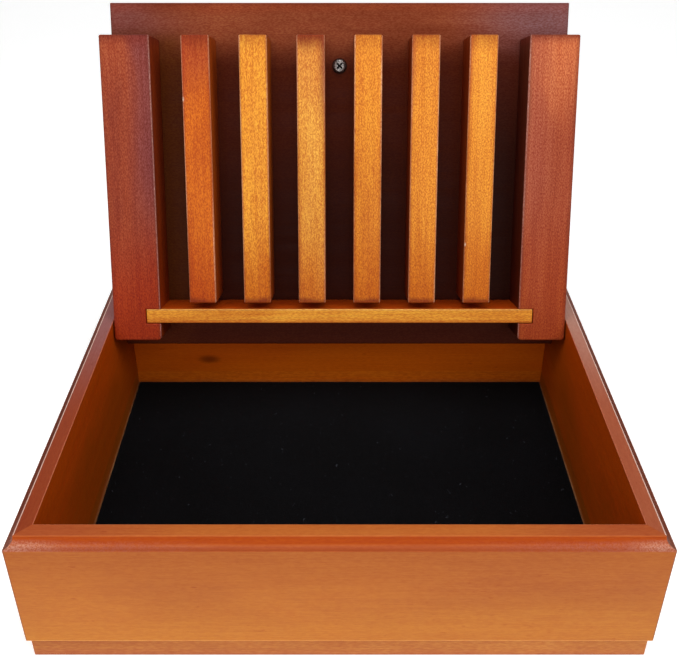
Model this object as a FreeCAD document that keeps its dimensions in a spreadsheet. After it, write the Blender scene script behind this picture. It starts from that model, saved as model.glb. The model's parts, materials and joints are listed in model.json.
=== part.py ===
import FreeCAD, Part
import math
import os

import Sketcher

# A wooden puzzle box with a drop-in lid that swings on two hidden pivot pins.
#
# Frame: origin on the table under the middle of the box, +X to the right, +Y to the back, +Z up.
# The lid is modelled about its pivot axis: its own +Z runs up the open lid, from the pivot to the
# free edge, and its own +Y points out of its outer face. At rest the lid stands open and leans
# back, so each lid piece is turned about +X by the lean and set on the pivot axis.

os.makedirs("parts", exist_ok=True)

SIZES = {
    # Box walls
    "box_width": 300.0,
    "box_depth": 238.0,
    "rim_height": 77.0,  # table to the flat rim on top of the walls
    "wall": 11.8,
    "cove_radius": 4.5,  # hollow moulding round the outer top edge
    "rim_step": 0.7,  # square step between the flat rim and the cove
    "corner_ease": 0.8,  # flat worn onto each outer upright corner
    "rim_round": 0.4,  # broken edge along the inside of the rim
    # Plinth, floor and felt
    "plinth_height": 12.2,
    "plinth_inset": 1.7,
    "floor_thick": 3.0,
    "floor_rabbet": 5.0,  # how far the floor panel is let in under the plinth
    "floor_play": 0.2,
    "felt_thick": 1.5,
    "felt_margin": 1.0,
    # Lid rest inside the front wall
    "cleat_width": 6.0,
    "cleat_height": 10.0,
    "cleat_end_gap": 1.0,
    "rest_gap": 0.2,  # between the closed lid and the cleat
    # Pivot
    "pivot_back": 19.4,  # back wall's inner face to the pivot axis
    "pivot_depth": 13.5,  # lid's outer face to the pivot axis
    "pin_diameter": 4.0,
    "pin_fit": 0.01,  # radial, fixed in the wall
    "pin_run": 0.06,  # radial, running in the rail
    "pin_reach": 14.0,  # into the rail
    "bore_spare": 1.0,  # bore depth past the pin's end
    "plug_diameter": 8.0,
    "plug_depth": 4.0,
    "stop_gap": 0.3,  # between the open lid and the back rim it leans on
    "swing_gap": 0.5,  # between the lid's rear edge and the back wall as it turns
    "rear_round": 4.0,  # rounded outer rear edge of the lid panel
    # Lid
    "lid_side_gap": 0.9,
    "lid_front_gap": 0.9,
    "panel_thick": 8.0,
    "panel_round": 0.6,
    "rail_width": 28.6,
    "rail_depth": 31.7,
    "rail_tail": 5.7,  # rail's foot below the pivot axis
    "rail_foot_round": 2.5,
    "bar_round": 0.8,  # softened front edges of the rails and slats
    "free_margin": 20.9,  # panel's free edge to the rails' and slats' tops
    "slat_width": 16.2,
    "slat_pitch": 33.05,
    "slat_gap": 3.8,  # ledge to the slats' feet
    "ledge_thick": 8.4,
    "ledge_above_pivot": 5.2,
    "dado_depth": 8.8,
    "dado_play": 0.4,
    "ledge_round": 0.4,
    # Knob and its screw
    "knob_from_edge": 36.5,
    "knob_diameter": 16.0,
    "knob_height": 12.0,
    "knob_neck": 9.0,
    "knob_foot": 3.0,  # length of the neck
    "knob_round": 3.0,
    "screw_diameter": 4.0,
    "screw_play": 0.15,  # radial, in the panel
    "screw_bite": 7.0,  # into the knob
    "head_diameter": 8.0,
    "head_height": 2.4,
    "head_round": 1.2,
    "recess_arm": 2.2,
    "recess_width": 0.9,
    "recess_depth": 1.2,
}
SLAT_COUNT = 6
CUT_PAST = 1.0  # how far a cutting shape runs past what it cuts


class Size:
    """A length that carries its number together with the sheet formula that gives it."""

    def __init__(self, number, formula):
        self.number = number
        self.formula = formula

    def joined(self, other, sign, number):
        return Size(number, f"({self.formula} {sign} {as_size(other).formula})")

    def __add__(self, other):
        return self.joined(other, "+", self.number + as_size(other).number)

    def __sub__(self, other):
        return self.joined(other, "-", self.number - as_size(other).number)

    def __mul__(self, other):
        return self.joined(other, "*", self.number * as_size(other).number)

    def __truediv__(self, other):
        return self.joined(other, "/", self.number / as_size(other).number)

    def __neg__(self):
        return Size(-self.number, f"(-1 * {self.formula})")


def as_size(value):
    return value if isinstance(value, Size) else Size(value, str(value))


def size(alias):
    return Size(SIZES[alias], f"Sizes.{alias}")


def root(value):
    return Size(math.sqrt(value.number), f"sqrt({value.formula})")


def angle(function, name, value):
    return Size(math.degrees(function(value.number)), f"({name}({value.formula}) / 1 deg)")


# Document and sheet

doc = FreeCAD.newDocument("puzzle_box")
sheet = doc.addObject("Spreadsheet::Sheet", "Sizes")
for row, (alias, value) in enumerate(SIZES.items(), start=1):
    sheet.set(f"A{row}", alias)
    sheet.set(f"B{row}", str(value))
    sheet.setAlias(f"B{row}", alias)
doc.recompute()

pieces = []


# Helpers that build a body from closed outlines between two levels

def new_body(label, base=None, turn=None, turn_axis=None):
    body = doc.addObject("PartDesign::Body", label)
    body.Label = label
    if base is not None:
        axis = turn_axis or FreeCAD.Vector(0, 0, 1)
        spin = turn.number if turn is not None else 0.0
        place = FreeCAD.Vector(*[as_size(value).number for value in base])
        body.Placement = FreeCAD.Placement(place, FreeCAD.Rotation(axis, spin))
        for letter, value in zip("xyz", base):
            body.setExpression(f"Placement.Base.{letter}", as_size(value).formula)
        if turn is not None:
            body.setExpression("Placement.Rotation.Angle", turn.formula)
    pieces.append(body)
    return body


def fix_point(sketch, geometry, end, point):
    for kind, value in zip(("DistanceX", "DistanceY"), point):
        value = as_size(value)
        constraint = Sketcher.Constraint(kind, -1, 1, geometry, end, value.number)
        index = sketch.addConstraint(constraint)
        sketch.setExpression(f"Constraints[{index}]", value.formula)


def add_outline(sketch, corners):
    """A closed outline of straight sides, each corner a pair of Sizes."""
    vectors = [FreeCAD.Vector(as_size(a).number, as_size(b).number, 0) for a, b in corners]
    count = len(corners)
    first = sketch.GeometryCount
    for index in range(count):
        sketch.addGeometry(Part.LineSegment(vectors[index], vectors[(index + 1) % count]), False)
    for index in range(count):
        following = first + (index + 1) % count
        sketch.addConstraint(Sketcher.Constraint("Coincident", first + index, 2, following, 1))
        fix_point(sketch, first + index, 1, corners[index])


def add_circle(sketch, centre, radius):
    middle = FreeCAD.Vector(as_size(centre[0]).number, as_size(centre[1]).number, 0)
    circle = Part.Circle(middle, FreeCAD.Vector(0, 0, 1), radius.number)
    geometry = sketch.addGeometry(circle, False)
    fix_point(sketch, geometry, 3, centre)
    index = sketch.addConstraint(Sketcher.Constraint("Radius", geometry, radius.number))
    sketch.setExpression(f"Constraints[{index}]", radius.formula)


def new_sketch(body, plane, level):
    """A sketch on one of the body's own planes, moved along the plane's normal by level."""
    sketch = body.newObject("Sketcher::SketchObject", f"{body.Label}_sketch")
    role = f"{plane}_Plane"
    support = [item for item in body.Origin.OriginFeatures if item.Role == role][0]
    sketch.AttachmentSupport = [(support, "")]
    sketch.MapMode = "FlatFace"
    sketch.AttachmentOffset = FreeCAD.Placement(
        FreeCAD.Vector(0, 0, level.number), FreeCAD.Rotation())
    sketch.setExpression("AttachmentOffset.Base.z", level.formula)
    return sketch


def draw(sketch, outlines, circles):
    for corners in outlines:
        add_outline(sketch, corners)
    for centre, radius in circles:
        add_circle(sketch, centre, radius)


def pad(body, plane, low, high, outlines=(), circles=()):
    """Add material between the levels low and high. The XZ plane's normal points to -Y."""
    low, high = as_size(low), as_size(high)
    sketch = new_sketch(body, plane, -high if plane == "XZ" else low)
    draw(sketch, outlines, circles)
    feature = body.newObject("PartDesign::Pad", f"{body.Label}_pad")
    feature.Profile = sketch
    feature.Length = (high - low).number
    feature.setExpression("Length", (high - low).formula)
    doc.recompute()
    return feature


def pocket(body, plane, low, high, outlines=(), circles=()):
    """Remove material between the levels low and high, and check that it went."""
    low, high = as_size(low), as_size(high)
    before = body.Shape.Volume
    sketch = new_sketch(body, plane, -low if plane == "XZ" else high)
    draw(sketch, outlines, circles)
    feature = body.newObject("PartDesign::Pocket", f"{body.Label}_pocket")
    feature.Profile = sketch
    feature.Length = (high - low).number
    feature.setExpression("Length", (high - low).formula)
    doc.recompute()
    if body.Shape.Volume > before - 0.01:
        raise RuntimeError(f"{body.Label}: a pocket removed nothing")
    return feature


def revolve(body, height, outline):
    """Turn a half profile, drawn as (radius, level along Y), round a line along Y at height."""
    sketch = new_sketch(body, "XY", height)
    add_outline(sketch, outline)
    feature = body.newObject("PartDesign::Revolution", f"{body.Label}_turned")
    feature.Profile = sketch
    feature.ReferenceAxis = (sketch, ["V_Axis"])
    feature.Angle = 360.0
    doc.recompute()
    return feature


def round_edges(body, radius, chosen):
    """Round each edge of the body for which chosen(middle, direction) is true."""
    tip = body.Tip
    names = []
    for index, edge in enumerate(tip.Shape.Edges, start=1):
        middle = edge.valueAt((edge.FirstParameter + edge.LastParameter) / 2)
        ends = [vertex.Point for vertex in edge.Vertexes]
        direction = ends[-1].sub(ends[0])
        if chosen(middle, direction):
            names.append(f"Edge{index}")
    if not names:
        raise RuntimeError(f"{body.Label}: no edge to round")
    feature = body.newObject("PartDesign::Fillet", f"{body.Label}_round")
    feature.Base = (tip, names)
    feature.Radius = radius.number
    feature.setExpression("Radius", radius.formula)
    doc.recompute()
    return feature


def box_outline(low_a, high_a, low_b, high_b):
    return [(low_a, low_b), (high_a, low_b), (high_a, high_b), (low_a, high_b)]


def near(one, other):
    return abs(one - other) < 1e-4


def along(direction, axis):
    across = FreeCAD.Vector(direction)
    setattr(across, axis, 0.0)
    return across.Length < 1e-4 < direction.Length


# Derived places, worked out once from the sheet

half_width = size("box_width") / 2
half_depth = size("box_depth") / 2
wall = size("wall")
rim = size("rim_height")
inner_half_width = half_width - wall
inner_half_depth = half_depth - wall
floor_top = size("floor_thick")

pivot_depth = size("pivot_depth")
pivot_y = inner_half_depth - size("pivot_back")
pivot_z = rim - pivot_depth

# Open, the lid's outer face stops just short of the back rim's inner edge. That edge lies
# pivot_back behind and pivot_depth above the pivot axis, and the lean follows from it.
reach = root(size("pivot_back") * size("pivot_back") + pivot_depth * pivot_depth)
lean = (
    angle(math.acos, "acos", (pivot_depth + size("stop_gap")) / reach)
    - angle(math.atan, "atan", pivot_depth / size("pivot_back"))
)

# The panel's rear edge is as far behind the pivot as its rounded corner can swing past the wall.
corner_room = size("pivot_back") - size("swing_gap") - size("rear_round")
corner_rise = pivot_depth - size("rear_round")
tail = size("rear_round") + root(corner_room * corner_room - corner_rise * corner_rise)

lid_half_width = inner_half_width - size("lid_side_gap")
lid_back = pivot_depth - size("panel_thick")  # where the rails and slats meet the panel
lid_front = lid_back - size("rail_depth")
free_edge = inner_half_depth * 2 - size("pivot_back") - size("lid_front_gap")
bars_top = free_edge - size("free_margin")
ledge_low = size("ledge_above_pivot")
ledge_high = ledge_low + size("ledge_thick")
slats_low = ledge_high + size("slat_gap")
rail_inner = lid_half_width - size("rail_width")
dado_end = rail_inner + size("dado_depth")
knob_up = free_edge - size("knob_from_edge")
pin_outer = half_width - size("plug_depth")
pin_inner = lid_half_width - size("pin_reach")


# Box walls and plinth, mitred at the corners

def mitre_cut(board, half_length, low, high):
    """Trim both ends at 45 degrees and ease the outer upright corners."""
    ease = size("corner_ease")
    outline = [
        (half_length - ease - CUT_PAST, as_size(-CUT_PAST)),
        (half_length - ease / 2, ease / 2),
        (half_length - wall - CUT_PAST, wall + CUT_PAST),
        (half_length + CUT_PAST, wall + CUT_PAST),
        (half_length + CUT_PAST, as_size(-CUT_PAST)),
    ]
    mirrored = [(-a, b) for a, b in outline]
    pocket(board, "XY", low - CUT_PAST, high + CUT_PAST, [outline, mirrored])


def wall_board(label, half_length, base, turn):
    """A wall with its outer face on its own XZ plane and its inside towards its own +Y."""
    board = new_body(label, base, turn)
    cove_edge = rim - size("rim_step")
    section = [
        (as_size(0), size("plinth_height")),
        (wall, size("plinth_height")),
        (wall, rim),
        (size("cove_radius"), rim),
        (size("cove_radius"), cove_edge),
        (as_size(0), cove_edge),
    ]
    pad(board, "YZ", -half_length, half_length, [section])
    cove = [((as_size(0), cove_edge), size("cove_radius"))]
    pocket(board, "YZ", -half_length - CUT_PAST, half_length + CUT_PAST, circles=cove)
    mitre_cut(board, half_length, size("plinth_height"), rim)
    round_edges(
        board, size("rim_round"),
        lambda middle, direction: near(middle.y, wall.number)
        and near(middle.z, rim.number) and along(direction, "x"))
    return board


def plinth_strip(label, half_length, base, turn):
    """A base strip under a wall, rabbeted underneath for the floor panel."""
    strip = new_body(label, base, turn)
    section = [
        (size("plinth_inset"), as_size(0)),
        (wall - size("floor_rabbet"), as_size(0)),
        (wall - size("floor_rabbet"), floor_top),
        (wall, floor_top),
        (wall, size("plinth_height")),
        (size("plinth_inset"), size("plinth_height")),
    ]
    pad(strip, "YZ", -half_length, half_length, [section])
    mitre_cut(strip, half_length, as_size(0), size("plinth_height"))
    return strip


def drill_for_pivot(board, place):
    """Bore a side wall right through for its pin and open the outside for the plug."""
    centre = (place, pivot_z)
    bore = size("pin_diameter") / 2 + size("pin_fit")
    pocket(board, "XZ", -CUT_PAST, wall + CUT_PAST, circles=[(centre, bore)])
    plug = size("plug_diameter") / 2 + size("pin_fit")
    pocket(board, "XZ", -CUT_PAST, size("plug_depth"), circles=[(centre, plug)])


sides = {
    "front": (half_width, (0, -half_depth, 0), as_size(0)),
    "back": (half_width, (0, half_depth, 0), as_size(180)),
    "left": (half_depth, (-half_width, 0, 0), as_size(-90)),
    "right": (half_depth, (half_width, 0, 0), as_size(90)),
}
walls = {}
for side, (half_length, base, turn) in sides.items():
    walls[side] = wall_board(f"{side}_wall", half_length, base, turn)
    plinth_strip(f"plinth_{side}", half_length, base, turn)
drill_for_pivot(walls["left"], -pivot_y)
drill_for_pivot(walls["right"], pivot_y)


# Floor, felt and lid rest

floor = new_body("floor_panel")
floor_half_width = inner_half_width + size("floor_rabbet") - size("floor_play")
floor_half_depth = inner_half_depth + size("floor_rabbet") - size("floor_play")
floor_outline = box_outline(
    -floor_half_width, floor_half_width, -floor_half_depth, floor_half_depth)
pad(floor, "XY", 0, floor_top, [floor_outline])

felt = new_body("felt_pad")
felt_half_width = inner_half_width - size("felt_margin")
felt_half_depth = inner_half_depth - size("felt_margin")
felt_outline = box_outline(-felt_half_width, felt_half_width, -felt_half_depth, felt_half_depth)
pad(felt, "XY", floor_top, floor_top + size("felt_thick"), [felt_outline])

cleat = new_body("lid_rest_cleat")
cleat_half = inner_half_width - size("cleat_end_gap")
cleat_top = rim - size("panel_thick") - size("rest_gap")
cleat_section = box_outline(
    -inner_half_depth, -inner_half_depth + size("cleat_width"),
    cleat_top - size("cleat_height"), cleat_top)
pad(cleat, "YZ", -cleat_half, cleat_half, [cleat_section])


# Pivot pins fixed in the side walls, and the plugs that hide them

pivot = (pivot_y, pivot_z)
pin_radius = size("pin_diameter") / 2
plug_radius = size("plug_diameter") / 2
pin_levels = {
    "left": (-pin_outer, -pin_inner, -half_width),
    "right": (pin_inner, pin_outer, pin_outer),
}
for side, (pin_low, pin_high, plug_low) in pin_levels.items():
    pin = new_body(f"pivot_pin_{side}")
    pad(pin, "YZ", pin_low, pin_high, circles=[(pivot, pin_radius)])
    plug = new_body(f"pivot_plug_{side}")
    pad(plug, "YZ", plug_low, plug_low + size("plug_depth"), circles=[(pivot, plug_radius)])


# Lid pieces, each about the pivot axis

def lid_body(label):
    return new_body(label, (0, pivot_y, pivot_z), -lean, FreeCAD.Vector(1, 0, 0))


def upright_bar(label, low_x, high_x, low_z):
    """A bar glued to the inside of the panel, full depth, up to the common top line."""
    bar = lid_body(label)
    pad(bar, "XZ", lid_front, lid_back, [box_outline(low_x, high_x, low_z, bars_top)])
    return bar


def soften_front(bar):
    """Round every edge of the bar's front face."""
    round_edges(
        bar, size("bar_round"),
        lambda middle, direction: near(middle.y, lid_front.number))


panel = lid_body("lid_panel")
panel_outline = box_outline(-lid_half_width, lid_half_width, -tail, free_edge)
pad(panel, "XZ", lid_back, pivot_depth, [panel_outline])
screw_hole = size("screw_diameter") / 2 + size("screw_play")
pocket(
    panel, "XZ", lid_back - CUT_PAST, pivot_depth + CUT_PAST,
    circles=[((as_size(0), knob_up), screw_hole)])
round_edges(
    panel, size("rear_round"),
    lambda middle, direction: near(middle.y, pivot_depth.number)
    and near(middle.z, -tail.number) and along(direction, "x"))
round_edges(
    panel, size("panel_round"),
    lambda middle, direction: near(middle.z, free_edge.number) and along(direction, "x"))

rail_sides = {"left": (-lid_half_width, -rail_inner), "right": (rail_inner, lid_half_width)}
for side, (low_x, high_x) in rail_sides.items():
    rail = upright_bar(f"{side}_rail", low_x, high_x, -size("rail_tail"))
    round_edges(
        rail, size("rail_foot_round"),
        lambda middle, direction: near(middle.z, -SIZES["rail_tail"]) and along(direction, "y"))
    soften_front(rail)
    dado_sides = {"left": (-dado_end, -rail_inner), "right": (rail_inner, dado_end)}
    dado_low, dado_high = dado_sides[side]
    if side == "left":
        dado_high = dado_high + CUT_PAST
    else:
        dado_low = dado_low - CUT_PAST
    dado = box_outline(dado_low, dado_high, ledge_low - size("dado_play"), ledge_high)
    pocket(rail, "XZ", lid_front - CUT_PAST, lid_back + CUT_PAST, [dado])
    bore_end = pin_inner - size("bore_spare")
    bore_levels = {
        "left": (-lid_half_width - CUT_PAST, -bore_end),
        "right": (bore_end, lid_half_width + CUT_PAST),
    }
    running = pin_radius + size("pin_run")
    pocket(rail, "YZ", *bore_levels[side], circles=[((as_size(0), as_size(0)), running)])

for index in range(SLAT_COUNT):
    centre = size("slat_pitch") * (index - (SLAT_COUNT - 1) / 2)
    half = size("slat_width") / 2
    soften_front(upright_bar(f"slat_{index + 1}", centre - half, centre + half, slats_low))

ledge = lid_body("ledge_board")
ledge_half = dado_end - size("dado_play")
pad(ledge, "XZ", lid_front, lid_back, [box_outline(-ledge_half, ledge_half, ledge_low, ledge_high)])
round_edges(
    ledge, size("ledge_round"),
    lambda middle, direction: near(middle.y, lid_front.number) and along(direction, "x"))


# Knob on the outer face and the screw that holds it, both drawn along their own Y axis

knob = lid_body("lid_knob")
knob_top = pivot_depth + size("knob_height")
knob_under = pivot_depth + size("knob_foot")
knob_radius = size("knob_diameter") / 2
thread_radius = size("screw_diameter") / 2 + size("pin_fit")
thread_end = pivot_depth + size("screw_bite") + size("bore_spare")
revolve(knob, knob_up, [
    (thread_radius, pivot_depth),
    (size("knob_neck") / 2, pivot_depth),
    (size("knob_neck") / 2, knob_under),
    (knob_radius, knob_under),
    (knob_radius, knob_top),
    (as_size(0), knob_top),
    (as_size(0), thread_end),
    (thread_radius, thread_end),
])
round_edges(
    knob, size("knob_round"),
    lambda middle, direction: near(middle.y, knob_top.number))

screw = lid_body("knob_screw")
head_top = lid_back - size("head_height")
head_radius = size("head_diameter") / 2
shank_radius = size("screw_diameter") / 2
screw_tip = pivot_depth + size("screw_bite")
revolve(screw, knob_up, [
    (as_size(0), head_top),
    (head_radius, head_top),
    (head_radius, lid_back),
    (shank_radius, lid_back),
    (shank_radius, screw_tip),
    (as_size(0), screw_tip),
])
round_edges(
    screw, size("head_round"),
    lambda middle, direction: near(middle.y, head_top.number))

# Cross recess: a plus of two slots, turned an eighth of a turn about the screw
arm = size("recess_arm")
half_slot = size("recess_width") / 2
quarter = [(arm, -half_slot), (arm, half_slot), (half_slot, half_slot)]
plus = []
for _ in range(4):
    plus += quarter
    quarter = [(-b, a) for a, b in quarter]
eighth = root(as_size(0.5))
recess = [((a - b) * eighth, (a + b) * eighth + knob_up) for a, b in plus]
pocket(screw, "XZ", head_top - CUT_PAST, head_top + size("recess_depth"), [recess])


# Check every object, then write one file for each piece

doc.recompute()
failed = [item.Name for item in doc.Objects if {"Invalid", "Error"} & set(item.State)]
if failed:
    raise RuntimeError(f"failed objects: {failed}")
for piece in pieces:
    shape = piece.Shape
    if shape.isNull() or not shape.isValid() or len(shape.Solids) != 1:
        raise RuntimeError(f"{piece.Label}: not one valid solid")
for piece in pieces:
    piece.Shape.exportStep(f"parts/{piece.Label}.step")
    print(f"{piece.Label}: {piece.Shape.Volume / 1000:.2f} cm3")
print(f"pivot y {pivot_y.number:.3f} z {pivot_z.number:.3f}, lean {lean.number:.4f} degrees")
print(f"tail {tail.number:.3f}, free edge {free_edge.number:.3f}")
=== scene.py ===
import json
import math

import bmesh
import bpy
import numpy as np
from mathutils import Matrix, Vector


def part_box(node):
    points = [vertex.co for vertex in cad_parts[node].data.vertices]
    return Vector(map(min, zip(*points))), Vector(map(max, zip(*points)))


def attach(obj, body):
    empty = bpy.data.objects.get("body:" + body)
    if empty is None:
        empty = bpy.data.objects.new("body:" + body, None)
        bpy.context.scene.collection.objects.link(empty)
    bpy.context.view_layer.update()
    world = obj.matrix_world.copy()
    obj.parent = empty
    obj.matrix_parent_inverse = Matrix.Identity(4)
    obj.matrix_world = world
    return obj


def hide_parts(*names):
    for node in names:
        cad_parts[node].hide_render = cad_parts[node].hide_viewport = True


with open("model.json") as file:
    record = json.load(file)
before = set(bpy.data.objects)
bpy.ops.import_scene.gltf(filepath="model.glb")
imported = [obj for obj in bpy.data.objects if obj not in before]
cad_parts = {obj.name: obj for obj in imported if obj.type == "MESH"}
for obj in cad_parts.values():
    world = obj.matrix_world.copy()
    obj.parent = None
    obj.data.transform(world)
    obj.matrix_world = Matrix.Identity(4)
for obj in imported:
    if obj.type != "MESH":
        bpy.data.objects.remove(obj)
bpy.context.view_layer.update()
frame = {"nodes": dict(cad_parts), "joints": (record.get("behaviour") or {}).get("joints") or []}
print("frame loaded")

mm = 0.001
lidJoint = frame["joints"][0]
pivot = np.array(lidJoint["pos_m"])
lean = math.radians(lidJoint["range_deg"][1] - 90)  # the open lid leans this far past upright


def lidToRow(points):  # lid points are (x, out of the outer face, up the lid) from the pivot
    x, out, up = np.asarray(points, float).T
    y = pivot[1] + up * math.sin(lean) + out * math.cos(lean)
    z = pivot[2] + up * math.cos(lean) - out * math.sin(lean)
    return np.stack([x, y, z], 1)


def rowToLid(points):  # the same turn undone
    x, y, z = np.asarray(points, float).T
    y, z = y - pivot[1], z - pivot[2]
    up = y * math.sin(lean) + z * math.cos(lean)
    out = y * math.cos(lean) - z * math.sin(lean)
    return np.stack([x, out, up], 1)


def nodePoints(node):  # a CAD node's points
    mesh = frame["nodes"][node].data
    points = np.empty(len(mesh.vertices) * 3)
    mesh.vertices.foreach_get("co", points)
    return points.reshape(-1, 3)


def lidBox(node):  # lowest and highest corner of a lid node in the lid's own directions
    points = rowToLid(nodePoints(node))
    return points.min(0), points.max(0)


def rowBox(node):  # lowest and highest corner of a node in the row frame
    low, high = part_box(node)
    return np.array(low), np.array(high)


def swatch(red, green, blue):  # a paint colour in 0 to 255, made linear
    part = np.array([red, green, blue]) / 255
    linear = np.where(part <= 0.04045, part / 12.92, ((part + 0.055) / 1.055) ** 2.4)
    return tuple(float(value) for value in linear) + (1.0,)


# The helpers from here to bumpFrom add nodes to a material's tree and give back an output.

def feed(tree, socket, value):  # value is another node's output or a plain number
    if isinstance(value, bpy.types.NodeSocket):
        tree.links.new(value, socket)
    else:
        socket.default_value = value


def mathNode(tree, operation, first, second=0.0, third=0.0):  # one sum on outputs or numbers
    node = tree.nodes.new("ShaderNodeMath")
    node.operation = operation
    for socket, value in zip(node.inputs, (first, second, third)):
        feed(tree, socket, value)
    return node.outputs[0]


def stretched(tree, vector, factors, shift):  # vector times factors plus shift
    node = tree.nodes.new("ShaderNodeVectorMath")
    node.operation = "MULTIPLY_ADD"
    feed(tree, node.inputs[0], vector)
    node.inputs[1].default_value = factors
    node.inputs[2].default_value = shift
    return node.outputs[0]


def grainPlace(tree):  # each point's place in its own board, which its mesh carries
    node = tree.nodes.new("ShaderNodeAttribute")
    node.attribute_name = "grain"
    return node.outputs["Vector"]


def objectPlace(tree):  # each point's place in the row frame, where every piece sits unmoved
    return tree.nodes.new("ShaderNodeTexCoord").outputs["Object"]


def splitUp(tree, vector):  # the x, y and z of a vector
    node = tree.nodes.new("ShaderNodeSeparateXYZ")
    feed(tree, node.inputs[0], vector)
    return node.outputs


def noiseNode(tree, vector, detail=2.0, roughness=0.5, distortion=0.0):  # one cell per unit
    node = tree.nodes.new("ShaderNodeTexNoise")
    feed(tree, node.inputs["Vector"], vector)
    node.inputs["Scale"].default_value = 1.0
    node.inputs["Detail"].default_value = detail
    node.inputs["Roughness"].default_value = roughness
    node.inputs["Distortion"].default_value = distortion
    return node.outputs[0]


def rise(tree, value, low, high, bottom=0.0, top=1.0):  # smooth step from low to high
    node = tree.nodes.new("ShaderNodeMapRange")
    node.interpolation_type = "SMOOTHSTEP"
    feed(tree, node.inputs["Value"], value)
    node.inputs["From Min"].default_value = low
    node.inputs["From Max"].default_value = high
    node.inputs["To Min"].default_value = bottom
    node.inputs["To Max"].default_value = top
    return node.outputs[0]


def blendColors(tree, factor, first, second, kind="MIX"):  # first turns into second
    node = tree.nodes.new("ShaderNodeMix")
    node.data_type = "RGBA"
    node.blend_type = kind
    feed(tree, node.inputs[0], factor)
    feed(tree, node.inputs[6], first)
    feed(tree, node.inputs[7], second)
    return node.outputs[2]


def freshShader(name):  # a new material with one shader and its output
    material = bpy.data.materials.new(name)
    material.use_nodes = True
    tree = material.node_tree
    tree.nodes.clear()
    output = tree.nodes.new("ShaderNodeOutputMaterial")
    shader = tree.nodes.new("ShaderNodeBsdfPrincipled")
    tree.links.new(shader.outputs[0], output.inputs[0])
    return material, tree, shader


def bumpFrom(tree, shader, height, strength, distance):  # height tilts the light on a surface
    bump = tree.nodes.new("ShaderNodeBump")
    bump.inputs["Strength"].default_value = strength
    bump.inputs["Distance"].default_value = distance
    feed(tree, bump.inputs["Height"], height)
    tree.links.new(bump.outputs[0], shader.inputs["Normal"])


# grain holds each point's place in its own board: along the grain, across the face, through the
# thickness, in metres. Every pattern of the wood is a function of those three.

woodLook = {
    "light": swatch(214, 138, 70),
    "dark": swatch(176, 100, 48),
    "cloud": (9.0, 30.0, 30.0),  # stain clouds per metre
    "edge": swatch(92, 34, 14),  # burnt tone along the edges
    "edgeReach": 0.004,
    "edgeAmount": 0.0,
    "half": (0.15, 0.03, 0.006),  # half sizes of the board, for its edges
    "streak": 0.14,
    "fibre": 0.10,
    "fibreSize": (330.0, 1300.0, 1300.0),  # fibres per metre
    "speck": 0.15,
    "roughness": 0.40,
    "coat": 0.02,
    "specular": 0.13,
    "bump": 0.16,
    "seed": 0.0,
    "zones": (),
    "spots": (),
}
woodNoise = {  # cells per metre along, across and through, then detail, roughness, distortion
    "band": ((7, 190, 190), 3, 0.6, 0.5),
    "streak": ((26, 1100, 1100), 3, 0.65),
    "pore": ((330, 2600, 2600), 1, 0.5),
    "fleck": ((160, 420, 420), 1, 0.5),
}


def zone(tone, amount, *ramps, jitter=0.0, grit=0.0):  # a tone laid where all its ramps are high
    return {"tone": tone, "amount": amount, "ramps": ramps, "jitter": jitter, "grit": grit}


def near(axis, level, start, stop):  # a ramp between two places, in millimetres from a level
    return axis, level + start * mm, level + stop * mm


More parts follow.
